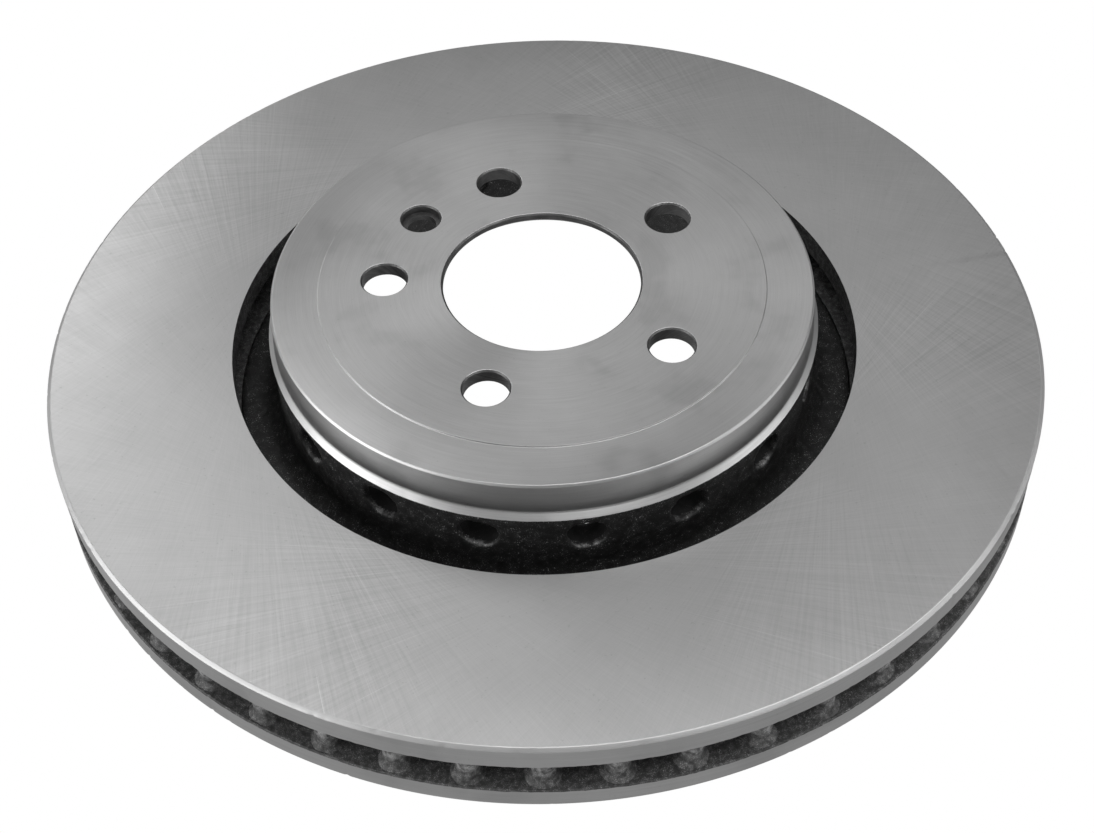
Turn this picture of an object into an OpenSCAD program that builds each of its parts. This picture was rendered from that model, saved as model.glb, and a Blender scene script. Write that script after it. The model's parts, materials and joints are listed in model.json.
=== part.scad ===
// Ventilated brake disc: one iron casting, drawn as the regions a machinist would name.
// The origin is on the axis, at the hub side of the mounting flange. +Z points to the wheel.

/* [Friction rings] */
// Outer diameter of the disc
disc_d = 345; // [300:1:420]
// Thickness over both friction faces
disc_t = 30; // [24:0.5:38]
// Thickness of the outboard ring
outboard_t = 9.2; // [7:0.1:11]
// Thickness of the inboard ring
inboard_t = 8.3; // [7:0.1:11]
// Chamfer round the rim of each friction face
rim_chamfer = 1; // [0.4:0.1:2]
// Small bevel where a ring's rim or bore meets the vent gap
vent_bevel = 0.5; // [0.2:0.1:1.5]

/* [Hat] */
// Height from the inboard friction face to the wheel side of the flange
overall_h = 53.5; // [44:0.5:66]
// Outer diameter of the hat at its top edge
hat_d = 185.5; // [150:0.5:225]
// How far the hat's side leans out from its top edge to its foot
hat_draft = 0.55; // [0:0.05:1]
// Height from the hat's shoulder to the foot of its machined side
hat_side_h = 14.1; // [10:0.1:17]
// Height of the machined flare at the foot of the hat's side
flare_h = 2.4; // [1:0.1:3]
// How far the flare spreads beyond the hat's side
flare_out = 1.7; // [0.5:0.1:1.9]
// Wall of the hat
hat_wall_t = 8.55; // [6:0.05:10]
// Chamfer round the hat's top edge
hat_chamfer = 0.65; // [0.3:0.05:1.5]
// Fillet inside the hat's corner
hat_fillet = 4; // [2:0.5:8]

/* [Mounting flange] */
// Thickness of the flange, hub face to wheel face
flange_t = 5.2; // [5:0.1:10]
// How far the wheel face stands above the shoulder
land_rise = 0.55; // [0.3:0.05:1]
// Width of the shoulder round the raised wheel face
shoulder_w = 15.7; // [12:0.1:17]
// Diameter of the centre bore
bore_d = 67.8; // [54:0.1:81]
// Chamfer at the wheel side of the centre bore
bore_chamfer = 0.65; // [0.3:0.05:1.5]
// Chamfer at the hub side of the centre bore, clear of the fillet round a hub's spigot
spigot_chamfer = 2.8; // [0.5:0.1:3]

/* [Holes in the flange] */
// Pitch circle diameter of the wheel bolts
bolt_pcd = 108; // [100:1:130]
// Number of wheel bolts
bolt_count = 5; // [4:1:6]
// Diameter of each bolt hole
bolt_hole_d = 15.4; // [12:0.1:17]
// Chamfer at the mouth of each hole
hole_chamfer = 0.6; // [0.2:0.1:1]
// Chamfer at the hub side of each bolt hole
hole_back_chamfer = 0.4; // [0.2:0.1:1]
// Diameter of the locating screw's counterbore
screw_head_d = 13.7; // [12:0.1:16]
// Depth of that counterbore
screw_head_depth = 3.1; // [1:0.1:3.5]
// Diameter of the locating screw's clearance hole
screw_d = 10.5; // [8:0.1:11]

/* [Groove and neck] */
// Width of the open groove between the hat's foot and the outboard ring
groove_w = 14; // [10:0.5:18]
// How far the cast neck is set back under the flare
neck_setback = 0.4; // [0.1:0.1:1]
// How far the inside of the neck opens out on its way to the hub side
mouth_flare = 2.8; // [0:0.1:4]
// Drop from the windows to where the neck begins to open out
mouth_drop = 2; // [1:0.5:6]
// Fillet between the neck and the groove's floor
neck_fillet = 8; // [4:0.5:10]
// Depth of the relief behind the inboard friction face
relief_depth = 3; // [1:0.5:4]
// Number of air windows through the neck
window_count = 17; // [8:1:20]
// Width of an air window
window_w = 13.2; // [11.2:0.1:16]
// Height of an air window
window_h = 11.6; // [11.2:0.1:14]
// Corner radius of an air window
window_r = 5.5; // [2:0.1:5.5]
// Drop from the flare's foot to the top of the windows
window_drop = 3.2; // [1:0.1:5]

/* [Vent pillars] */
// Number of pillars in each row
pillar_count = 47; // [30:1:50]
// Width of the outer pillars
outer_pillar_w = 8; // [5:0.1:9]
// Width of the middle pillars
middle_pillar_w = 7; // [5:0.1:8]
// Width of the inner pillars
inner_pillar_w = 6; // [4:0.1:7]
// How far the outer pillars stop short of the rim
rim_recess = 2.5; // [1:0.5:5]
// How far the inner pillars stop short of the groove
groove_recess = 5; // [2:0.5:8]
// Clear space between two rows, measured along a radius
row_gap = 4; // [2:0.5:6]

/* [Hidden] */

smooth = 180;
through = 1;
machined = [0.66, 0.66, 0.67];
coated = [0.11, 0.11, 0.12];

// Angles from +X: a bolt hole stands on +Y, the screw hole is midway between two of them
bolt_start = 90;
screw_angle = bolt_start + 180 / bolt_count;
window_start = 7.8;
pillar_start = 0.4;
pillar_pitch = 360 / pillar_count;

// Heights
inboard_face_z = flange_t - overall_h;
outboard_face_z = inboard_face_z + disc_t;
gap_floor_z = inboard_face_z + inboard_t;
gap_roof_z = outboard_face_z - outboard_t;
gap_h = gap_roof_z - gap_floor_z;
shoulder_z = flange_t - land_rise;
flare_foot_z = shoulder_z - hat_side_h;
flare_top_z = flare_foot_z + flare_h;
relief_z = inboard_face_z + relief_depth;
window_z = flare_foot_z - window_drop - window_h / 2;
mouth_top_z = window_z - window_h / 2 - mouth_drop;

// Radii
rim_r = disc_d / 2;
hat_r = hat_d / 2;
land_r = hat_r - shoulder_w;
bore_r = bore_d / 2;
bolt_r = bolt_pcd / 2;
hat_inner_r = hat_r - hat_wall_t;
hat_foot_r = hat_r + hat_draft;
flare_foot_r = hat_foot_r + flare_out;
groove_r = flare_foot_r + groove_w;
neck_r = flare_foot_r - neck_setback;
mouth_r = hat_inner_r + mouth_flare;

// Three rows of pillars share the ring's width, less the two recesses and the two gaps
pillar_l = (rim_r - groove_r - rim_recess - groove_recess - 2 * row_gap) / 3;
outer_pillar_r = rim_r - rim_recess - pillar_l / 2;
middle_pillar_r = outer_pillar_r - pillar_l - row_gap;
inner_pillar_r = middle_pillar_r - pillar_l - row_gap;

// Cuts a round hole from bottom_z up through the wheel face, with a chamfer at its mouth
module chamfered_hole(hole_r, bottom_z, chamfer) {
    translate([0, 0, bottom_z])
        cylinder(r = hole_r, h = flange_t - bottom_z + through, $fn = smooth);
    translate([0, 0, flange_t - chamfer])
        cylinder(r1 = hole_r, r2 = hole_r + chamfer + through, h = chamfer + through, $fn = smooth);
}

// Cuts the chamfer at a hole's hub side
module back_chamfer(hole_r, chamfer) {
    translate([0, 0, -through])
        cylinder(r1 = hole_r + chamfer + through, r2 = hole_r, h = chamfer + through, $fn = smooth);
}

module on_bolt_circle(angle) {
    rotate([0, 0, angle])
        translate([bolt_r, 0, 0])
            children();
}

module bolt_holes() {
    for (i = [0 : bolt_count - 1])
        on_bolt_circle(bolt_start + i * 360 / bolt_count) {
            chamfered_hole(bolt_hole_d / 2, -through, hole_chamfer);
            back_chamfer(bolt_hole_d / 2, hole_back_chamfer);
        }
}

// The screw's head sits on the flat seat of a counterbore
module screw_hole() {
    on_bolt_circle(screw_angle) {
        translate([0, 0, -through])
            cylinder(r = screw_d / 2, h = flange_t, $fn = smooth);
        chamfered_hole(screw_head_d / 2, flange_t - screw_head_depth, hole_chamfer);
    }
}

module mounting_flange() {
    color(machined)
        difference() {
            union() {
                cylinder(r = land_r, h = shoulder_z, $fn = smooth);
                translate([0, 0, shoulder_z])
                    cylinder(r1 = land_r, r2 = land_r - land_rise, h = land_rise, $fn = smooth);
            }
            chamfered_hole(bore_r, -through, bore_chamfer);
            back_chamfer(bore_r, spigot_chamfer);
            bolt_holes();
            screw_hole();
        }
}

module hat_wall() {
    color(machined)
        rotate_extrude($fn = smooth)
            union() {
                polygon([
                    [land_r, 0],
                    [hat_inner_r, 0],
                    [hat_inner_r, flare_foot_z],
                    [flare_foot_r, flare_foot_z],
                    [hat_foot_r, flare_top_z],
                    [hat_r, shoulder_z - hat_chamfer],
                    [hat_r - hat_chamfer, shoulder_z],
                    [land_r, shoulder_z]
                ]);
                inner_corner();
            }
}

// Rounds the corner between the hub face and the inside of the hat
module inner_corner() {
    difference() {
        translate([hat_inner_r - hat_fillet, -hat_fillet])
            square(hat_fillet);
        translate([hat_inner_r - hat_fillet, -hat_fillet])
            circle(r = hat_fillet, $fn = smooth);
    }
}

module neck_profile() {
    floor_r = neck_r + neck_fillet;
    difference() {
        polygon([
            [hat_inner_r, flare_foot_z],
            [neck_r, flare_foot_z],
            [neck_r, gap_floor_z + neck_fillet],
            [floor_r, gap_floor_z + neck_fillet],
            [floor_r, gap_floor_z],
            [groove_r, gap_floor_z],
            [groove_r, relief_z],
            [mouth_r + relief_depth, relief_z],
            [mouth_r, relief_z + relief_depth],
            [hat_inner_r, mouth_top_z]
        ]);
        translate([floor_r, gap_floor_z + neck_fillet])
            circle(r = neck_fillet, $fn = smooth);
    }
}

// A rectangle with round corners, kept as true arcs
module round_window() {
    for (x = [-1, 1])
        for (y = [-1, 1])
            translate([x * (window_h / 2 - window_r), y * (window_w / 2 - window_r)])
                circle(r = window_r, $fn = smooth);
    square([window_h - 2 * window_r, window_w], center = true);
    square([window_h, window_w - 2 * window_r], center = true);
}

module neck() {
    color(coated)
        difference() {
            rotate_extrude($fn = smooth)
                neck_profile();
            for (i = [0 : window_count - 1])
                rotate([0, 0, window_start + i * 360 / window_count])
                    translate([hat_inner_r / 2, 0, window_z])
                        rotate([0, 90, 0])
                            linear_extrude(hat_r)
                                round_window();
        }
}

module outboard_ring() {
    color(machined)
        rotate_extrude($fn = smooth)
            polygon([
                [groove_r, gap_roof_z + vent_bevel],
                [groove_r + vent_bevel, gap_roof_z],
                [rim_r - vent_bevel, gap_roof_z],
                [rim_r, gap_roof_z + vent_bevel],
                [rim_r, outboard_face_z - rim_chamfer],
                [rim_r - rim_chamfer, outboard_face_z],
                [groove_r, outboard_face_z]
            ]);
}

module inboard_ring() {
    color(machined)
        rotate_extrude($fn = smooth)
            polygon([
                [groove_r, relief_z],
                [groove_r + relief_depth, inboard_face_z],
                [rim_r - rim_chamfer, inboard_face_z],
                [rim_r, inboard_face_z + rim_chamfer],
                [rim_r, gap_floor_z - vent_bevel],
                [rim_r - vent_bevel, gap_floor_z],
                [groove_r, gap_floor_z]
            ]);
}

// A pillar is a bar with round ends, and is never wider than it is long
module pillar(wide) {
    w = min(wide, pillar_l);
    linear_extrude(gap_h)
        union() {
            for (x = [-1, 1])
                translate([x * (pillar_l - w) / 2, 0])
                    circle(r = w / 2, $fn = smooth);
            square([pillar_l - w, w], center = true);
        }
}

module pillar_row(row_r, wide, shift) {
    color(coated)
        for (i = [0 : pillar_count - 1])
            rotate([0, 0, pillar_start + (i + shift) * pillar_pitch])
                translate([row_r, 0, gap_floor_z])
                    pillar(wide);
}

module outer_pillars() {
    pillar_row(outer_pillar_r, outer_pillar_w, 0);
}

module middle_pillars() {
    pillar_row(middle_pillar_r, middle_pillar_w, 0.5);
}

module inner_pillars() {
    pillar_row(inner_pillar_r, inner_pillar_w, 0);
}

mounting_flange();
hat_wall();
neck();
outboard_ring();
inboard_ring();
outer_pillars();
middle_pillars();
inner_pillars();
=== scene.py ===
import json
import math

import bmesh
import bpy
from mathutils import Matrix, Vector, noise


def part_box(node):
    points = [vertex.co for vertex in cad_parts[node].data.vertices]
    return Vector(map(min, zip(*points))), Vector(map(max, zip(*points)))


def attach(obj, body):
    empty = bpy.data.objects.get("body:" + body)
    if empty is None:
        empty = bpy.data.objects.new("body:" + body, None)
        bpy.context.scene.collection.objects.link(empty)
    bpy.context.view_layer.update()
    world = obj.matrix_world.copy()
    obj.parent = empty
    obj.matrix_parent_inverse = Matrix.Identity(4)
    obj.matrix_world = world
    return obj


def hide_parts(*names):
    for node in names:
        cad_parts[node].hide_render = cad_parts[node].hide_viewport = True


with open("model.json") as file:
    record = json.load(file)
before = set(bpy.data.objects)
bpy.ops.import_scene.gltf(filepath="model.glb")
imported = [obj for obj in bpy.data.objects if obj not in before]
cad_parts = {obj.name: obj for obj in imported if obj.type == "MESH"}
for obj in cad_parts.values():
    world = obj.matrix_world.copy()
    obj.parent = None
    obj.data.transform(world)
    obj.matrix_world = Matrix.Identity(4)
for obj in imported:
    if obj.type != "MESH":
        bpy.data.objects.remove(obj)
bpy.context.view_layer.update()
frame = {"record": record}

scene = bpy.context.scene


# Places on the casting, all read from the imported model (metres, part frame)
def readCasting():
    flangeLow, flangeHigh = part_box("mounting_flange")
    hatLow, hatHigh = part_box("hat_wall")
    neckLow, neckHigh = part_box("neck")
    outboardLow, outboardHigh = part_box("outboard_ring")
    inboardLow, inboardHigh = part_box("inboard_ring")
    mounts = {mount["name"]: mount for mount in frame["record"]["mounts"]}
    bolts = mounts["wheel_bolts"]["dims"]
    screw = mounts["locating_screw"]
    return {
        "hubZ": flangeLow.z, "wheelZ": flangeHigh.z, "landR": flangeHigh.x,
        "shoulderZ": hatHigh.z, "footZ": hatLow.z, "footR": hatHigh.x,
        "reliefZ": neckLow.z, "grooveR": neckHigh.x,
        "faceZ": outboardHigh.z, "roofZ": outboardLow.z, "rimR": outboardHigh.x,
        "floorZ": inboardHigh.z, "backZ": inboardLow.z,
        "boreR": mounts["hub_bore"]["dims"]["r_mm"] / 1000,
        "boltR": bolts["pcd_mm"] / 2000, "boltCount": bolts["count"], "boltHoleR": bolts["hole_r_mm"] / 1000,
        "screwAt": Vector(screw["pos_m"][:2]), "screwR": screw["dims"]["r_mm"] / 1000,
    }


casting = readCasting()
print("casting read")


# Camera, floor and light
viewpoint = {
    "aim": (-0.01094, -0.0408),     # where the view is centred on the outboard friction face
    "distance": 0.59576,
    "turn": -15.22,                 # degrees round the disc from straight ahead
    "height": 47.23,                # degrees above the friction face
    "roll": -2.0,
    "lens": 58.472,
}


def direction(turn, height):
    turn, height = math.radians(turn), math.radians(height)
    return Vector((math.sin(turn) * math.cos(height), -math.cos(turn) * math.cos(height), math.sin(height)))


def placeCamera():
    data = bpy.data.cameras.new("camera")
    data.lens = viewpoint["lens"]
    data.sensor_width = 36
    data.clip_start = 0.01
    back = direction(viewpoint["turn"], viewpoint["height"])
    aim = Vector((*viewpoint["aim"], casting["faceZ"]))
    camera = bpy.data.objects.new("camera", data)
    scene.collection.objects.link(camera)
    look = (-back).to_track_quat("-Z", "Y").to_matrix().to_4x4()
    roll = Matrix.Rotation(math.radians(viewpoint["roll"]), 4, "Z")
    camera.matrix_world = Matrix.Translation(aim + back * viewpoint["distance"]) @ look @ roll
    scene.camera = camera


studio = {
    "room": 0.17,           # even light from the pale room
    "floorSize": 6.0,
    "backdrop": 1.0,        # what the eye sees of the lit table and the paper behind it
    "floorBounce": 0.38,    # what the table gives back to the metal
    "lamps": [              # name, turn and height in degrees, distance, width, depth, watts
        ("softboxBack", 193, 55, 1.0, 0.55, 0.35, 0.42),
        ("softboxBackLeft", 210, 31, 1.0, 0.60, 0.30, 1.6),
        ("softboxBackRight", 152, 38, 1.0, 0.70, 0.45, 0.45),
        ("softboxTop", 0, 88, 1.0, 0.60, 0.50, 2.8),
        ("softboxLeft", 274, 18, 1.2, 0.90, 1.00, 9.2),
        ("softboxRight", 62, 12, 1.2, 0.80, 0.60, 2.6),
        ("softboxFrontRight", 45, 55, 1.0, 0.80, 0.60, 4.1),
        ("softboxFront", 0, 13, 1.0, 0.80, 0.25, 0.7),
    ],
}


def lightStudio():
    world = bpy.data.worlds.new("studio")
    world.use_nodes = True
    tree = world.node_tree
    seen = addNode(tree, "ShaderNodeLightPath").outputs["Is Camera Ray"]
    strength = remap(tree, seen, 0.0, 1.0, studio["room"], studio["backdrop"])
    background = tree.nodes["Background"]
    background.inputs["Color"].default_value = (1, 1, 1, 1)
    tree.links.new(strength, background.inputs["Strength"])
    scene.world = world
    for name, turn, height, distance, width, depth, watts in studio["lamps"]:
        lamp = bpy.data.lights.new(name, "AREA")
        lamp.shape = "RECTANGLE"
        lamp.size = width
        lamp.size_y = depth
        lamp.energy = watts
        holder = bpy.data.objects.new(name, lamp)
        towards = direction(turn, height)
        aimed = (-towards).to_track_quat("-Z", "Y").to_matrix().to_4x4()
        holder.matrix_world = Matrix.Translation(towards * distance) @ aimed
        holder.visible_camera = False
        scene.collection.objects.link(holder)
    scene.view_settings.view_transform = "Standard"


# Shader helpers
def addNode(tree, kind, values=None, **settings):
    node = tree.nodes.new(kind)
    for name, value in settings.items():
        setattr(node, name, value)
    for name, value in (values or {}).items():
        if isinstance(value, bpy.types.NodeSocket):
            tree.links.new(value, node.inputs[name])
        else:
            node.inputs[name].default_value = value
    return node


def maths(tree, operation, *values):
    node = addNode(tree, "ShaderNodeMath", dict(enumerate(values)), operation=operation)
    return node.outputs[0]


def times(tree, *values):
    product = values[0]
    for value in values[1:]:
        product = maths(tree, "MULTIPLY", product, value)
    return product


def remap(tree, value, low, high, newLow, newHigh):
    values = {"Value": value, "From Min": low, "From Max": high, "To Min": newLow, "To Max": newHigh}
    return addNode(tree, "ShaderNodeMapRange", values).outputs["Result"]


def combine(tree, x, y, z):
    return addNode(tree, "ShaderNodeCombineXYZ", {"X": x, "Y": y, "Z": z}).outputs[0]


def noiseAt(tree, vector, scale, detail=2.0, roughness=0.5):
    values = {"Vector": vector, "Scale": scale, "Detail": detail, "Roughness": roughness}
    return addNode(tree, "ShaderNodeTexNoise", values).outputs["Fac"]


def newGroup(name, inputs, outputs):
    group = bpy.data.node_groups.new(name, "ShaderNodeTree")
    for label, value in inputs.items():
        socket = group.interface.new_socket(name=label, in_out="INPUT", socket_type="NodeSocketFloat")
        socket.default_value = value
    for label in outputs:
        group.interface.new_socket(name=label, in_out="OUTPUT", socket_type="NodeSocketFloat")
    return group, group.nodes.new("NodeGroupInput").outputs, group.nodes.new("NodeGroupOutput").inputs


def useGroup(tree, group, values):
    return addNode(tree, "ShaderNodeGroup", values, node_tree=group).outputs


def polar(tree):
    point = addNode(tree, "ShaderNodeTexCoord").outputs["Object"]
    parts = addNode(tree, "ShaderNodeSeparateXYZ", {"Vector": point}).outputs
    flat = combine(tree, parts["X"], parts["Y"], 0.0)
    radius = addNode(tree, "ShaderNodeVectorMath", {0: flat}, operation="LENGTH").outputs["Value"]
    angle = maths(tree, "ARCTAN2", parts["Y"], parts["X"])
    return point, radius, angle, parts["Z"]


# Marks of a grinding wheel: long straight lines that all just touch one inner circle, both ways round
def makeGrindingHatch():
    group, given, result = newGroup(
        "grindingHatch", {"Touch Radius": 0.104, "Line Pitch": 0.0006, "Run": 0.02}, ["Marks", "Longest"])
    point, radius, angle, height = polar(group)
    ratio = maths(group, "MINIMUM", maths(group, "DIVIDE", given["Touch Radius"], radius), 1.0)
    lean = maths(group, "ARCCOSINE", ratio)
    travel = maths(group, "MULTIPLY", radius, maths(group, "SINE", lean))
    along = maths(group, "DIVIDE", travel, given["Run"])
    cells = maths(group, "DIVIDE", given["Touch Radius"], given["Line Pitch"])
    marks = []
    for way, shift in (("ADD", 0.0), ("SUBTRACT", 9.3)):
        turned = maths(group, way, angle, lean)
        across = maths(group, "MULTIPLY", maths(group, "COSINE", turned), cells)
        athwart = maths(group, "MULTIPLY", maths(group, "SINE", turned), cells)
        lines = combine(group, across, athwart, maths(group, "ADD", along, shift))
        marks.append(noiseAt(group, lines, 1.0, 2.0, 0.7))
    both = maths(group, "MULTIPLY", maths(group, "ADD", *marks), 0.5)
    group.links.new(both, result["Marks"])
    group.links.new(maths(group, "MAXIMUM", *marks), result["Longest"])
    return group


# Fine rings left by a lathe tool, on flat faces and on round sides alike
def makeTurningRings():
    group, given, result = newGroup("turningRings", {"Feed": 0.0003, "Waver": 3.0}, ["Rings"])
    point, radius, angle, height = polar(group)
    travel = maths(group, "DIVIDE", maths(group, "SUBTRACT", radius, height), given["Feed"])
    sideways = maths(group, "MULTIPLY", maths(group, "COSINE", angle), given["Waver"])
    endways = maths(group, "MULTIPLY", maths(group, "SINE", angle), given["Waver"])
    rings = noiseAt(group, combine(group, travel, sideways, endways), 1.0, 3.0, 0.6)
    group.links.new(rings, result["Rings"])
    return group


# Soft clouds of handling and oil, and small specks of dust
def makeHandling():
    group, given, result = newGroup(
        "handling", {"Cloud Size": 0.03, "Speck Size": 0.0006}, ["Cloud", "Speck"])
    point = addNode(group, "ShaderNodeTexCoord").outputs["Object"]
    cloudScale = maths(group, "DIVIDE", 1.0, given["Cloud Size"])
    speckScale = maths(group, "DIVIDE", 1.0, given["Speck Size"])
    cloud = noiseAt(group, point, cloudScale, 3.0, 0.55)
    speck = noiseAt(group, point, speckScale, 1.0, 0.5)
    group.links.new(cloud, result["Cloud"])
    group.links.new(remap(group, speck, 0.70, 0.80, 0.0, 1.0), result["Speck"])
    return group


# Skin of a sand casting under thin paint: grains and shallow dimples, and glints, specks painted lighter in
# the colour as sparkle highlights of the lamps on the grains
def makeSandSkin():
    group, given, result = newGroup(
        "sandSkin", {"Grain": 0.0007, "Glint": 0.62}, ["Height", "Glints", "Tone"])
    point = addNode(group, "ShaderNodeTexCoord").outputs["Object"]
    grainScale = maths(group, "DIVIDE", 1.0, given["Grain"])
    fine = noiseAt(group, point, grainScale, 3.0, 0.65)
    coarse = noiseAt(group, point, maths(group, "MULTIPLY", grainScale, 0.22), 2.0, 0.5)
    group.links.new(maths(group, "ADD", fine, maths(group, "MULTIPLY", coarse, 1.5)), result["Height"])
    glints = noiseAt(group, point, maths(group, "MULTIPLY", grainScale, 1.6), 2.0, 0.6)
    edge = maths(group, "ADD", given["Glint"], 0.12)
    values = {"Value": glints, "From Min": given["Glint"], "From Max": edge}
    glintMask = addNode(group, "ShaderNodeMapRange", values).outputs["Result"]
    patches = remap(group, coarse, 0.40, 0.6, 0.15, 1.0)
    group.links.new(maths(group, "MULTIPLY", glintMask, patches), result["Glints"])
    group.links.new(coarse, result["Tone"])
    return group


def newMaterial(name):
    material = bpy.data.materials.new(name)
    material.use_nodes = True
    tree = material.node_tree
    return material, tree, tree.nodes["Principled BSDF"]


def greyFrom(tree, value):
    return addNode(tree, "ShaderNodeCombineColor", {0: value, 1: value, 2: value}).outputs[0]


# Colour, roughness and relief, which every surface here has
def dressSurface(tree, surface, shade, rough, height, distance, strength=1.0):
    tree.links.new(greyFrom(tree, shade), surface.inputs["Base Color"])
    tree.links.new(rough, surface.inputs["Roughness"])
    bump = addNode(tree, "ShaderNodeBump", {"Height": height, "Strength": strength, "Distance": distance})
    tree.links.new(bump.outputs[0], surface.inputs["Normal"])


def brushSurface(tree, surface, anisotropy):
    surface.inputs["Anisotropic"].default_value = anisotropy
    tangent = addNode(tree, "ShaderNodeTangent", direction_type="RADIAL", axis="Z")
    tree.links.new(tangent.outputs[0], surface.inputs["Tangent"])


groundFinish = {
    "tone": 0.48, "cloth": 0.10, "streaks": 0.25, "scratches": 0.30, "ticks": 0.16, "clouds": 0.05,
    "dark": 0.14,
    # painted sheen: the coarser strokes are painted strongest in fans where they catch the lamps; the turn
    # and reach of each in degrees, and how much is left between
    "sheenFans": ((-134, 22), (-70, 20), (-20, 18), (128, 24), (60, 18)),
    "still": 0.14,
    "roughness": 0.40, "anisotropy": 0.35, "relief": 0.0000012,
}


def makeGroundIron():
    material, tree, surface = newMaterial("groundIron")
    point, radius, angle, height = polar(tree)
    # Painted sheen: streaks and light scratches show strongest in the fans, where the marks catch the lamps
    sheenFans = groundFinish["still"]
    for turn, reach in groundFinish["sheenFans"]:
        nearness = maths(tree, "COSINE", maths(tree, "SUBTRACT", angle, math.radians(turn)))
        sheenFan = remap(tree, nearness, math.cos(math.radians(reach)), 1.0, 0.0, 1.0)
        sheenFans = maths(tree, "MAXIMUM", sheenFan, sheenFans)
    fine = useGroup(tree, hatch, {"Line Pitch": 0.00034, "Run": 0.010})["Marks"]
    wide = useGroup(tree, hatch, {"Line Pitch": 0.0009, "Run": 0.050, "Touch Radius": 0.100})["Marks"]
    deep = useGroup(tree, hatch, {"Line Pitch": 0.00055, "Run": 0.080, "Touch Radius": 0.102})["Longest"]
    handled = useGroup(tree, handling, {"Cloud Size": 0.045, "Speck Size": 0.0011})
    cloth = remap(tree, fine, 0.35, 0.65, -groundFinish["cloth"] / 2, groundFinish["cloth"] / 2)
    streaks = remap(tree, wide, 0.35, 0.65, -groundFinish["streaks"] / 2, groundFinish["streaks"] / 2)
    light = remap(tree, deep, 0.66, 0.78, 0.0, groundFinish["scratches"])
    shade = maths(tree, "ADD", streaks, light)
    shade = maths(tree, "ADD", maths(tree, "MULTIPLY", shade, sheenFans), cloth)
    cuts = useGroup(tree, hatch, {"Line Pitch": 0.0009, "Run": 0.045})["Longest"]
    shade = maths(tree, "SUBTRACT", shade, remap(tree, cuts, 0.72, 0.80, 0.0, groundFinish["dark"]))
    shade = maths(tree, "SUBTRACT", shade, maths(tree, "MULTIPLY", handled["Speck"], groundFinish["ticks"]))
    clouds = remap(tree, handled["Cloud"], 0.3, 0.7, 1 - groundFinish["clouds"], 1 + groundFinish["clouds"])
    shade = maths(tree, "ADD", shade, clouds)
    shade = maths(tree, "MULTIPLY", shade, groundFinish["tone"])
    rough = remap(tree, wide, 0.3, 0.7, groundFinish["roughness"] + 0.04, groundFinish["roughness"] - 0.04)
    dressSurface(tree, surface, shade, rough, fine, groundFinish["relief"])
    brushSurface(tree, surface, groundFinish["anisotropy"])
    surface.inputs["Metallic"].default_value = 1.0
    return material


turnedFinish = {
    "tone": 0.505, "smudge": 0.08, "pit": 0.12, "roughness": 0.35, "anisotropy": 0.75, "relief": 0.000004,
}
bevelFinish = {
    "tone": 0.50, "smudge": 0.05, "pit": 0.12, "roughness": 0.50, "anisotropy": 0.40, "relief": 0.000004,
}


def makeTurned(name, finish):
    material, tree, surface = newMaterial(name)
    rings = useGroup(tree, turning, {"Feed": 0.0003})["Rings"]
    broad = useGroup(tree, turning, {"Feed": 0.0015})["Rings"]
    handled = useGroup(tree, handling, {"Cloud Size": 0.025, "Speck Size": 0.0009})
    marks = maths(tree, "ADD", maths(tree, "MULTIPLY", rings, 0.6), maths(tree, "MULTIPLY", broad, 0.4))
    lines = remap(tree, marks, 0.3, 0.7, 0.92, 1.08)
    clouds = remap(tree, handled["Cloud"], 0.3, 0.7, 1.05, 0.95)
    smudges = remap(tree, handled["Cloud"], 0.58, 0.68, 0.0, finish["smudge"])
    pits = maths(tree, "MULTIPLY", handled["Speck"], finish["pit"])
    clouds = maths(tree, "SUBTRACT", maths(tree, "SUBTRACT", clouds, smudges), pits)
    rough = remap(tree, marks, 0.3, 0.7, finish["roughness"] + 0.05, finish["roughness"] - 0.05)
    dressSurface(tree, surface, times(tree, lines, clouds, finish["tone"]), rough, marks, finish["relief"])
    brushSurface(tree, surface, finish["anisotropy"])
    surface.inputs["Metallic"].default_value = 1.0
    return material


# Walls and chamfers of the holes: real drilling rings, and a tone painted dark, 0.13 against about 0.5 on the
# turned faces, as shade inside the holes
shadedDrilledFinish = {"tone": 0.13, "roughness": 0.5, "relief": 0.00001}


def makeShadedDrilledIron():
    material, tree, surface = newMaterial("shadedDrilledIron")
    rings = useGroup(tree, turning, {"Feed": 0.0004})["Rings"]
    cloud = useGroup(tree, handling, {"Cloud Size": 0.004})["Cloud"]
    lines = remap(tree, rings, 0.3, 0.7, 0.75, 1.25)
    clouds = remap(tree, cloud, 0.3, 0.7, 0.8, 1.2)
    shade = times(tree, lines, clouds, shadedDrilledFinish["tone"])
    rough = remap(tree, rings, 0.3, 0.7, shadedDrilledFinish["roughness"] + 0.08, shadedDrilledFinish["roughness"] - 0.08)
    dressSurface(tree, surface, shade, rough, rings, shadedDrilledFinish["relief"])
    surface.inputs["Metallic"].default_value = 1.0
    return material


coatedFinish = {
    "tone": 0.013, "glint": 0.55, "glintFrom": 0.62, "grain": 0.0006, "roughness": 0.5, "relief": 0.00012,
}
shadedFinish = {
    "tone": 0.005, "glint": 0.05, "glintFrom": 0.62, "grain": 0.0006, "roughness": 0.7, "relief": 0.0001,
}
dustyFinish = {
    "tone": 0.050, "glint": 0.30, "glintFrom": 0.55, "grain": 0.0004, "roughness": 0.6, "relief": 0.0001,
}
# pillar ends, bare near the rim and most on their upper part
rubbedEnd = {"tone": 0.15, "from": 0.1655, "to": 0.1685, "lower": 0.003, "upper": 0.007}
# painted highlight on the lower lips of the air windows: how light, and how high a band
lipHighlight = {"tone": 0.16, "high": 0.0009}    # lower lips of the air windows


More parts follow.
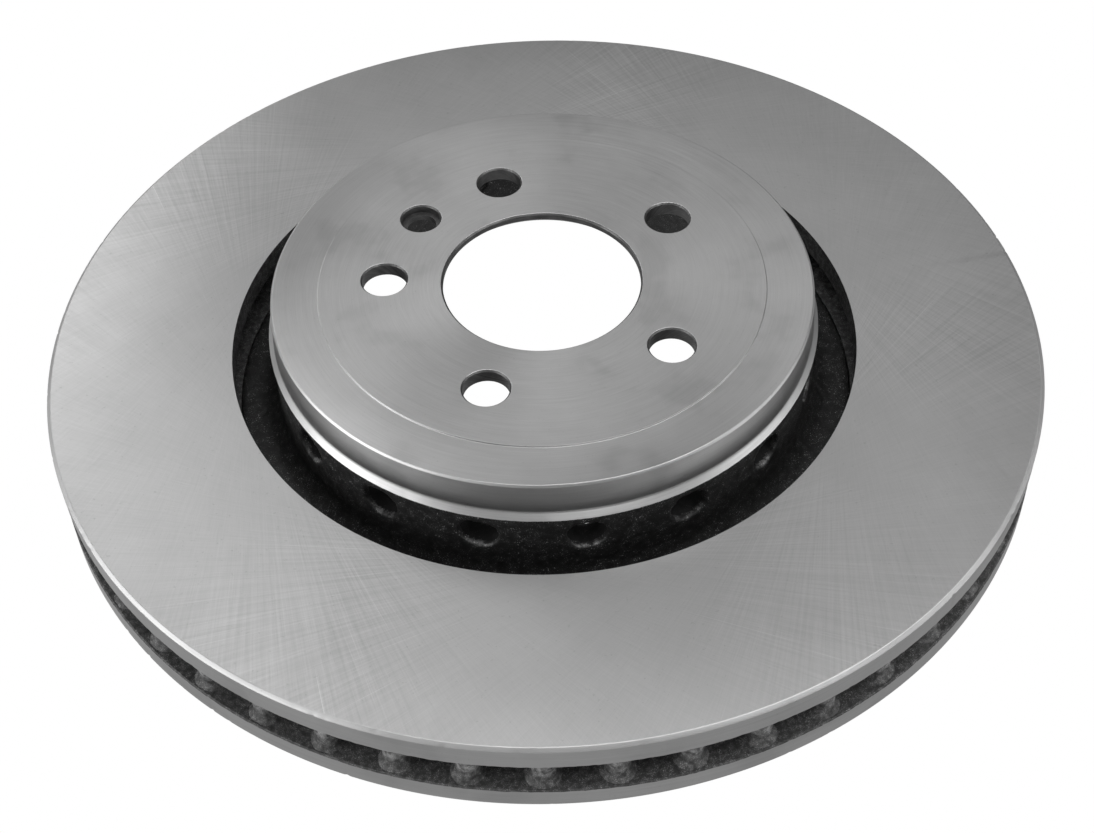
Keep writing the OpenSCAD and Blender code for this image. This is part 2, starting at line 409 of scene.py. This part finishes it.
# How far the paint is rubbed off the pillars' ends
def rubEnds(tree, skin):
    point, radius, angle, height = polar(tree)
    bare = remap(tree, radius, rubbedEnd["from"], rubbedEnd["to"], 0.0, rubbedEnd["tone"])
    lowZ, highZ = casting["floorZ"] + rubbedEnd["lower"], casting["floorZ"] + rubbedEnd["upper"]
    upper = remap(tree, height, lowZ, highZ, 0.2, 1.0)
    patchy = remap(tree, skin["Height"], 0.9, 1.5, 0.0, 1.8)
    return times(tree, bare, upper, patchy)


# A painted highlight along the lower lip of every air window, where its edge catches the light
def paintLipHighlights(tree, skin):
    point, radius, angle, height = polar(tree)
    turned = maths(tree, "SUBTRACT", angle, math.radians(neck["firstWindow"]))
    nearness = maths(tree, "COSINE", maths(tree, "MULTIPLY", turned, float(neck["windows"])))
    halfTurn = neck["windowWide"] / 2 / casting["footR"]
    side = remap(tree, nearness, math.cos(neck["windows"] * halfTurn), 1.0, 1.0, 0.0)
    across = remap(tree, side, 0.2, 0.9, 1.0, 0.0)
    depth = maths(tree, "SQRT", maths(tree, "SUBTRACT", 1.0, side))
    middleZ = casting["footZ"] - neck["windowDrop"] - neck["windowHigh"] / 2
    lipZ = maths(tree, "SUBTRACT", middleZ, maths(tree, "MULTIPLY", depth, neck["windowHigh"] / 2))
    below = maths(tree, "ABSOLUTE", maths(tree, "SUBTRACT", height, lipZ))
    along = remap(tree, below, 0.0, lipHighlight["high"], 1.0, 0.0)
    outer = remap(tree, radius, casting["footR"] - 0.003, casting["footR"] - 0.001, 0.0, lipHighlight["tone"])
    patchy = remap(tree, skin["Height"], 1.15, 1.45, 0.0, 1.5)
    return times(tree, across, along, outer, patchy)


# Black painted skin; the given function, where there is one, lightens the colour: rubbed-off paint on the
# pillar ends, a painted highlight on the window lips
def makeCasting(name, finish, wearAndHighlight=None):
    material, tree, surface = newMaterial(name)
    skin = useGroup(tree, sandSkin, {"Grain": finish["grain"], "Glint": finish["glintFrom"]})
    shade = remap(tree, skin["Tone"], 0.3, 0.7, finish["tone"] * 0.6, finish["tone"] * 1.5)
    # painted glints: lighter specks in the colour that stand for sparkle highlights
    shade = maths(tree, "ADD", shade, maths(tree, "MULTIPLY", skin["Glints"], finish["glint"]))
    if wearAndHighlight:
        shade = maths(tree, "ADD", shade, wearAndHighlight(tree, skin))
    rough = remap(tree, skin["Glints"], 0.0, 1.0, finish["roughness"], 0.32)
    dressSurface(tree, surface, shade, rough, skin["Height"], finish["relief"], 0.8)
    surface.inputs["Specular IOR Level"].default_value = 0.4
    return material


def makeTable():
    material, tree, surface = newMaterial("paleTable")
    seen = addNode(tree, "ShaderNodeLightPath").outputs["Is Camera Ray"]
    point = addNode(tree, "ShaderNodeTexCoord").outputs["Object"]
    sideways = addNode(tree, "ShaderNodeSeparateXYZ", {"Vector": point}).outputs["X"]
    bounce = remap(tree, sideways, -0.5, 0.5, studio["floorBounce"] * 1.4, studio["floorBounce"] * 0.85)
    glow = maths(tree, "MAXIMUM", bounce, maths(tree, "MULTIPLY", seen, studio["backdrop"]))
    emission = addNode(tree, "ShaderNodeEmission", {"Color": (1, 1, 1, 1), "Strength": glow}).outputs[0]
    # the table can be looked through from below
    clear = addNode(tree, "ShaderNodeBsdfTransparent").outputs[0]
    below = addNode(tree, "ShaderNodeNewGeometry").outputs["Backfacing"]
    sides = addNode(tree, "ShaderNodeMixShader", {0: below, 1: emission, 2: clear}).outputs[0]
    tree.links.new(sides, tree.nodes["Material Output"].inputs["Surface"])
    tree.nodes.remove(surface)
    return material


# Mesh helpers. An outline is a list of radius and height pairs
def drawOutline(bm, points, breakEdge=0.0, closed=True, centre=(0.0, 0.0)):
    verts = [bm.verts.new((centre[0] + radius, centre[1], height)) for radius, height in points]
    pairs = list(zip(verts, verts[1:]))
    if closed:
        pairs.append((verts[-1], verts[0]))
    for pair in pairs:
        bm.edges.new(pair)
    if breakEdge:
        corners = verts if closed else verts[1:-1]
        bmesh.ops.bevel(
            bm, geom=corners, offset=breakEdge, offset_type="OFFSET", segments=2, profile=0.5,
            affect="VERTICES", material=-1, clamp_overlap=True)


# Points of a soft curve that replaces a corner
def softCorner(before, corner, after, reach, steps=4):
    before, corner, after = Vector(before), Vector(corner), Vector(after)
    start = corner + (before - corner).normalized() * reach
    end = corner + (after - corner).normalized() * reach
    parts = [step / steps for step in range(steps + 1)]
    return [tuple(start.lerp(corner, part).lerp(corner.lerp(end, part), part)) for part in parts]


def spinOutline(bm, points, steps, breakEdge=0.0, closed=True, centre=(0.0, 0.0)):
    old = set(bm.verts)
    drawOutline(bm, points, breakEdge, closed, centre)
    verts = [v for v in bm.verts if v not in old]
    edges = list({edge for v in verts for edge in v.link_edges})
    bmesh.ops.spin(
        bm, geom=verts + edges, cent=(centre[0], centre[1], 0), axis=(0, 0, 1),
        angle=2 * math.pi, steps=steps, use_merge=True)


def makePiece(name, bm, materials, nodes, sharpAngle=35):
    bmesh.ops.remove_doubles(bm, verts=bm.verts, dist=1e-6)
    bmesh.ops.recalc_face_normals(bm, faces=bm.faces)
    mesh = bpy.data.meshes.new(name)
    bm.to_mesh(mesh)
    bm.free()
    for material in materials:
        mesh.materials.append(material)
    mesh.shade_smooth()
    mesh.set_sharp_from_angle(angle=math.radians(sharpAngle))
    piece = bpy.data.objects.new(name, mesh)
    scene.collection.objects.link(piece)
    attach(piece, "root")
    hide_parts(*nodes)
    print(name, "made,", len(mesh.polygons), "faces")
    return piece


def weighNormals(piece):
    modifier = piece.modifiers.new("weighted normals", "WEIGHTED_NORMAL")
    modifier.weight = 100
    modifier.keep_sharp = True
    finished = bpy.data.meshes.new_from_object(piece.evaluated_get(bpy.context.evaluated_depsgraph_get()))
    finished.name = piece.name
    piece.modifiers.clear()
    piece.data = finished


def roughenVert(vert, depth, grain, seed):
    push = noise.noise(vert.co / grain + Vector((seed, 0, 0)))
    vert.co += vert.normal * depth * push


# Mounting flange
flange = {
    "landRise": 0.00055, "boreChamfer": 0.00065, "spigotChamfer": 0.0028,
    "holeChamfer": 0.0006, "holeBackChamfer": 0.0004, "headR": 0.00685, "headDepth": 0.0031,
    "edgeBreak": 0.00009, "steps": 360, "holeSteps": 72,
}


def makeFlange():
    top, bottom, rim = casting["wheelZ"], casting["hubZ"], casting["landR"]
    soften = flange["edgeBreak"]
    bm = bmesh.new()
    rise = flange["landRise"]
    edge, foot = (rim - rise, top), (rim - rise * 0.7, top - rise)
    side = [(rim - rise - 4 * soften, top)]
    side += softCorner(side[0], edge, foot, soften)
    side += softCorner(edge, foot, (rim, top - rise), rise * 0.3)
    side += [(rim, top - rise), (rim, bottom)]
    spinOutline(bm, side, flange["steps"], closed=False)
    boreR, chamfer, back = casting["boreR"], flange["boreChamfer"], flange["spigotChamfer"]
    bore = [
        (boreR + chamfer + 2 * soften, top), (boreR + chamfer, top), (boreR, top - chamfer),
        (boreR, bottom + back), (boreR + back, bottom)]
    spinOutline(bm, bore, flange["steps"], soften, closed=False)
    holeR, chamfer, back = casting["boltHoleR"], flange["holeChamfer"], flange["holeBackChamfer"]
    hole = [
        (holeR + chamfer + 2 * soften, top), (holeR + chamfer, top), (holeR, top - chamfer),
        (holeR, bottom + back), (holeR + back, bottom)]
    for index in range(casting["boltCount"]):
        angle = math.pi / 2 + index * 2 * math.pi / casting["boltCount"]
        at = (casting["boltR"] * math.cos(angle), casting["boltR"] * math.sin(angle))
        spinOutline(bm, hole, flange["holeSteps"], soften, closed=False, centre=at)
    headR, screwR = flange["headR"], casting["screwR"]
    seat = top - flange["headDepth"]
    screw = [
        (headR + chamfer + 2 * soften, top), (headR + chamfer, top), (headR, top - chamfer),
        (headR, seat), (screwR, seat), (screwR, bottom)]
    spinOutline(bm, screw, flange["holeSteps"], soften, closed=False, centre=casting["screwAt"])
    bmesh.ops.remove_doubles(bm, verts=bm.verts, dist=1e-6)
    # the walls and chamfers of the holes take the iron painted dark as shade
    for face in bm.faces:
        middle = face.calc_center_median()
        inWall = middle.xy.length < rim - 0.001 and middle.z < top - 0.0001
        face.material_index = 1 if inWall else 0    # the holes' walls and chamfers
    for level in (top, bottom):
        loop = [e for e in bm.edges if e.is_boundary and all(abs(v.co.z - level) < 1e-6 for v in e.verts)]
        bmesh.ops.triangle_fill(bm, use_beauty=True, edges=loop)
    piece = makePiece("flangePlate", bm, [turnedIron, shadedDrilledIron], ["mounting_flange"], 25)
    weighNormals(piece)


# Hat
hat = {
    "outerR": 0.09275, "flareHigh": 0.0024, "flareOut": 0.0017, "flareBlend": 0.0006, "wall": 0.00855,
    "chamfer": 0.00065, "fillet": 0.004, "edgeBreak": 0.00013, "steps": 720,
    "ragged": 0.00012, "crumb": 900,    # uneven foot of the flare, and its noise scale
}


def makeHat():
    top, foot, land = casting["shoulderZ"], casting["footZ"], casting["landR"]
    outer, inner = hat["outerR"], hat["outerR"] - hat["wall"]
    shoulder, chamferTop = (land, top), (outer - hat["chamfer"], top)
    chamferFoot = (outer, top - hat["chamfer"])
    flareTop = (casting["footR"] - hat["flareOut"], foot + hat["flareHigh"])
    flareFoot = (casting["footR"], foot)
    outline = [(land, casting["hubZ"]), shoulder]
    outline += softCorner(shoulder, chamferTop, chamferFoot, hat["edgeBreak"])
    outline += softCorner(chamferTop, chamferFoot, flareTop, hat["edgeBreak"])
    outline += softCorner(chamferFoot, flareTop, flareFoot, hat["flareBlend"])
    outline += [flareFoot, (inner, foot)]
    for step in range(9):
        angle = math.pi / 2 * step / 8
        outline.append((
            inner - hat["fillet"] * (1 - math.cos(angle)),
            casting["hubZ"] - hat["fillet"] * (1 - math.sin(angle))))
    bm = bmesh.new()
    spinOutline(bm, outline, hat["steps"])
    bmesh.ops.remove_doubles(bm, verts=bm.verts, dist=1e-6)
    bm.normal_update()
    for face in bm.faces:
        middle = face.calc_center_median()
        inside = middle.xy.length < inner + 0.0001 and middle.z < casting["hubZ"] - 1e-5
        face.material_index = 1 if inside or middle.z < foot + 1e-5 else 0
    for vert in bm.verts:
        if abs(vert.co.z - foot) < 1e-6 and vert.co.xy.length > outer:
            vert.co.z += hat["ragged"] * (0.5 + noise.noise(vert.co * hat["crumb"]))
    return makePiece("hatShell", bm, [turnedIron, coatedCasting], ["hat_wall"], 30)


# Neck
neck = {
    "setback": 0.0004, "mouthFlare": 0.0028, "mouthDrop": 0.002, "fillet": 0.008, "relief": 0.003,
    "windows": 17, "firstWindow": 7.8,    # how many, and where the first is, in degrees
    "windowWide": 0.0132, "windowHigh": 0.0114, "windowDrop": 0.0033,
    "squareness": 2.15,     # an ellipse would have 2
    "overlap": 0.001, "shy": 0.0025,    # how the top of the wall laps into the hat, out of sight
    "shadeFrom": 0.0015, "shadeTo": 0.0022, "shadeOver": 0.0006,    # the part of a window that stays dark
    "voxel": 0.00096, "rough": 0.00022, "coarse": 0.0022, "fine": 0.0009,
}


def windowCutter(bm, angle, middleZ, nearR, farR):
    made = bmesh.ops.create_circle(bm, cap_ends=True, segments=32, radius=1.0)
    wide = neck["windowWide"] / 2
    high = neck["windowHigh"] / 2
    power = 2 / neck["squareness"]
    for vert in made["verts"]:
        x, y = vert.co.x, vert.co.y
        vert.co = Vector((
            nearR,
            math.copysign(abs(x) ** power, x) * wide,
            math.copysign(abs(y) ** power, y) * high + middleZ))
    face = made["verts"][0].link_faces[0]
    pushed = bmesh.ops.extrude_face_region(bm, geom=[face])
    moved = [item for item in pushed["geom"] if isinstance(item, bmesh.types.BMVert)]
    bmesh.ops.translate(bm, verts=moved, vec=(farR - nearR, 0, 0))
    bmesh.ops.rotate(bm, verts=made["verts"] + moved, cent=(0, 0, 0), matrix=Matrix.Rotation(angle, 3, "Z"))


def makeNeck():
    foot, floor, relief = casting["footZ"], casting["floorZ"], casting["reliefZ"]
    outer = casting["footR"] - neck["setback"]
    inner = hat["outerR"] - hat["wall"]
    mouth = inner + neck["mouthFlare"]
    radius = neck["fillet"]
    middleZ = foot - neck["windowDrop"] - neck["windowHigh"] / 2
    outline = [(inner, foot + neck["overlap"]), (outer - neck["shy"], foot + neck["overlap"])]
    outline += [(outer - neck["shy"], foot), (outer, foot)]
    for step in range(13):
        angle = math.pi / 2 * step / 12
        outline.append((outer + radius * (1 - math.cos(angle)), floor + radius * (1 - math.sin(angle))))
    outline += [(casting["grooveR"], floor), (casting["grooveR"], relief)]
    outline += [(mouth + neck["relief"], relief), (mouth, relief + neck["relief"])]
    outline += [(inner, middleZ - neck["windowHigh"] / 2 - neck["mouthDrop"])]
    bm = bmesh.new()
    spinOutline(bm, outline, 360)
    bmesh.ops.remove_doubles(bm, verts=bm.verts, dist=1e-6)
    bmesh.ops.recalc_face_normals(bm, faces=bm.faces)
    cutters = bmesh.new()
    for index in range(neck["windows"]):
        angle = math.radians(neck["firstWindow"] + index * 360 / neck["windows"])
        windowCutter(cutters, angle, middleZ, inner * 0.9, outer * 1.1)
    bmesh.ops.recalc_face_normals(cutters, faces=cutters.faces)
    wallMesh = bpy.data.meshes.new("neckWall")
    bm.to_mesh(wallMesh)
    bm.free()
    cutMesh = bpy.data.meshes.new("windowCutters")
    cutters.to_mesh(cutMesh)
    cutters.free()
    wall = bpy.data.objects.new("neckWall", wallMesh)
    cut = bpy.data.objects.new("windowCutters", cutMesh)
    scene.collection.objects.link(wall)
    scene.collection.objects.link(cut)
    boolean = wall.modifiers.new("windows", "BOOLEAN")
    boolean.operation = "DIFFERENCE"
    boolean.object = cut
    remesh = wall.modifiers.new("skin", "REMESH")
    remesh.mode = "VOXEL"
    remesh.voxel_size = neck["voxel"]
    finished = bpy.data.meshes.new_from_object(wall.evaluated_get(bpy.context.evaluated_depsgraph_get()))
    bpy.data.objects.remove(wall)
    bpy.data.objects.remove(cut)
    bm = bmesh.new()
    bm.from_mesh(finished)
    for turn in range(2):
        bmesh.ops.smooth_vert(
            bm, verts=bm.verts, factor=0.5, use_axis_x=True, use_axis_y=True, use_axis_z=True)
    bm.normal_update()
    for vert in bm.verts:
        roughenVert(vert, neck["rough"], neck["coarse"], 3.0)
        roughenVert(vert, neck["rough"] * 0.5, neck["fine"], 7.0)
    reach = neck["windowHigh"] / 2 + neck["shadeOver"]
    for face in bm.faces:
        middle = face.calc_center_median()
        deep = inner + neck["shadeFrom"] < middle.xy.length < outer - neck["shadeTo"]
        face.material_index = 1 if deep and abs(middle.z - middleZ) < reach else 0
    return makePiece("castNeck", bm, [neckCasting, shadedCasting], ["neck"], 180)


# Friction rings
ring = {
    "rimChamfer": 0.001, "rimRound": 0.0013, "edgeBreak": 0.00025,
    "ventBevel": 0.0005, "relief": 0.003, "steps": 1080,
    "ragged": 0.00018, "wave": 260, "crumb": 800, "dent": 500,    # uneven cast edge, and its noise scales
    "nick": 0.00096, "nicks": 700, "nickFrom": 0.45,    # chips in the machined edge
}


def makeRing(name, node, outline, frictionZ, ventZ):
    bm = bmesh.new()
    spinOutline(bm, outline, ring["steps"])
    bmesh.ops.remove_doubles(bm, verts=bm.verts, dist=1e-6)
    bmesh.ops.recalc_face_normals(bm, faces=bm.faces)
    bm.normal_update()
    ventSide = 1 if ventZ > frictionZ else -1
    chamferR = casting["rimR"] - ring["rimRound"] - ring["edgeBreak"] - 1e-6
    for face in bm.faces:
        middle = face.calc_center_median()
        if abs(middle.z - frictionZ) < 1e-6:
            face.material_index = 0
        elif middle.xy.length > chamferR and abs(middle.z - ventZ) > ring["ventBevel"]:
            face.material_index = 1
        else:
            face.material_index = 2
    for vert in bm.verts:
        if abs(vert.co.z - ventZ) < ring["ventBevel"] + 1e-6:
            wave = noise.noise(vert.co * ring["wave"]) + 0.6 * noise.noise(vert.co * ring["crumb"])
            vert.co.z -= ventSide * ring["ragged"] * (wave + 0.4)
            if vert.co.xy.length > chamferR:
                dent = abs(noise.noise(vert.co * ring["dent"])) * ring["ragged"]
                vert.co.xy *= 1 - dent / casting["rimR"]
        elif vert.co.xy.length > chamferR - 0.001:
            chip = max(0, noise.noise(vert.co * ring["nicks"] + Vector((5, 0, 0))) - ring["nickFrom"])
            vert.co.xy *= 1 - chip * ring["nick"] / casting["rimR"]
    return makePiece(name, bm, [groundIron, bevelIron, dustyCasting], [node], 30)


def makeRings():
    groove, rim = casting["grooveR"], casting["rimR"]
    chamfer, bevel, relief = ring["rimChamfer"], ring["ventBevel"], ring["relief"]
    face, roof = casting["faceZ"], casting["roofZ"]
    soften = ring["edgeBreak"]
    low, high = (rim, face - chamfer), (rim - ring["rimRound"], face)
    outboard = [(groove, roof + bevel), (groove + bevel, roof), (rim - bevel, roof), (rim, roof + bevel)]
    outboard += softCorner(outboard[-1], low, high, soften) + softCorner(low, high, (groove, face), soften)
    outboard += [(groove, face)]
    makeRing("outboardRing", "outboard_ring", outboard, face, roof)
    floor, back = casting["floorZ"], casting["backZ"]
    low, high = (rim - chamfer, back), (rim, back + chamfer)
    inboard = [(groove, casting["reliefZ"]), (groove + relief, back)]
    inboard += softCorner(inboard[-1], low, high, soften) + softCorner(low, high, (rim, floor), soften)
    inboard += [(rim, floor - bevel), (rim - bevel, floor), (groove, floor)]
    makeRing("inboardRing", "inboard_ring", inboard, back, floor)


# Vent pillars
pillars = {
    "count": 47, "first": 0.4, "rimRecess": 0.0025, "grooveRecess": 0.005, "rowGap": 0.004,
    "fillet": 0.0022, "sink": 0.0004, "levels": 10, "around": 28, "rough": 0.00035, "grain": 0.003,
    "rimMargin": 0.0006,
    "rows": [    # from the rim inwards: piece, node, width, turn as a share of the spacing
        ("outerPillars", "outer_pillars", 0.008, 0.0),
        ("middlePillars", "middle_pillars", 0.007, 0.5),
        ("innerPillars", "inner_pillars", 0.006, 0.0),
    ],
}


def makePillarRow(rowIndex, name, node, width, shift):
    spare = pillars["rimRecess"] + pillars["grooveRecess"] + 2 * pillars["rowGap"]
    length = (casting["rimR"] - casting["grooveR"] - spare) / 3
    rowR = casting["rimR"] - pillars["rimRecess"] - length / 2 - rowIndex * (length + pillars["rowGap"])
    low = casting["floorZ"] - pillars["sink"]
    high = casting["roofZ"] + pillars["sink"]
    bm = bmesh.new()
    made = bmesh.ops.create_circle(bm, cap_ends=True, segments=pillars["around"], radius=width / 2)
    for vert in made["verts"]:
        if abs(vert.co.x) > 1e-7:
            vert.co.x += math.copysign((length - width) / 2, vert.co.x)
    bmesh.ops.translate(bm, verts=bm.verts, vec=(rowR, 0, low))
    face = bm.faces[:][0]
    pushed = bmesh.ops.extrude_face_region(bm, geom=[face])
    moved = [item for item in pushed["geom"] if isinstance(item, bmesh.types.BMVert)]
    bmesh.ops.translate(bm, verts=moved, vec=(0, 0, high - low))
    uprights = [e for e in bm.edges if abs(e.verts[0].co.z - e.verts[1].co.z) > 0.001]
    bmesh.ops.subdivide_edges(bm, edges=uprights, cuts=pillars["levels"])
    fillet = pillars["fillet"]
    for vert in bm.verts:
        depth = min(vert.co.z - casting["floorZ"], casting["roofZ"] - vert.co.z)
        reach = max(0.0, 1 - max(depth, 0) / fillet)
        grow = fillet * (1 - math.sqrt(max(0.0, 1 - reach * reach)))
        centreX = max(rowR - (length - width) / 2, min(rowR + (length - width) / 2, vert.co.x))
        out = Vector((vert.co.x - centreX, vert.co.y, 0))
        if out.length > 1e-6:
            vert.co += out.normalized() * grow
        vert.co.x = min(vert.co.x, casting["rimR"] - pillars["rimMargin"])
    pitch = 2 * math.pi / pillars["count"]
    start = math.radians(pillars["first"]) + shift * pitch
    bmesh.ops.rotate(bm, verts=bm.verts, cent=(0, 0, 0), matrix=Matrix.Rotation(start, 3, "Z"))
    bmesh.ops.spin(
        bm, geom=bm.verts[:] + bm.edges[:] + bm.faces[:], cent=(0, 0, 0), axis=(0, 0, 1),
        angle=2 * math.pi, steps=pillars["count"], use_duplicate=True)
    bmesh.ops.remove_doubles(bm, verts=bm.verts, dist=1e-6)
    bmesh.ops.recalc_face_normals(bm, faces=bm.faces)
    bm.normal_update()
    for vert in bm.verts:
        roughenVert(vert, pillars["rough"], pillars["grain"], rowIndex * 5.0)
    makePiece(name, bm, [pillarCasting], [node], 60)


def makeFloor():
    bm = bmesh.new()
    bmesh.ops.create_grid(bm, x_segments=1, y_segments=1, size=studio["floorSize"] / 2)
    mesh = bpy.data.meshes.new("table")
    bm.to_mesh(mesh)
    bm.free()
    mesh.materials.append(makeTable())
    floor = bpy.data.objects.new("table", mesh)
    floor.location.z = casting["backZ"] - 0.0001
    scene.collection.objects.link(floor)


placeCamera()
lightStudio()
hatch = makeGrindingHatch()
turning = makeTurningRings()
handling = makeHandling()
sandSkin = makeSandSkin()
groundIron = makeGroundIron()
turnedIron = makeTurned("turnedIron", turnedFinish)
bevelIron = makeTurned("bevelIron", bevelFinish)
shadedDrilledIron = makeShadedDrilledIron()
coatedCasting = makeCasting("coatedCasting", coatedFinish)
neckCasting = makeCasting("neckCasting", coatedFinish, paintLipHighlights)
shadedCasting = makeCasting("shadedCasting", shadedFinish)
dustyCasting = makeCasting("dustyCasting", dustyFinish)
pillarCasting = makeCasting("pillarCasting", dustyFinish, rubEnds)
print("materials made")
makeFlange()
makeHat()
makeNeck()
makeRings()
for rowIndex, row in enumerate(pillars["rows"]):
    makePillarRow(rowIndex, *row)
makeFloor()
print("casting finished")
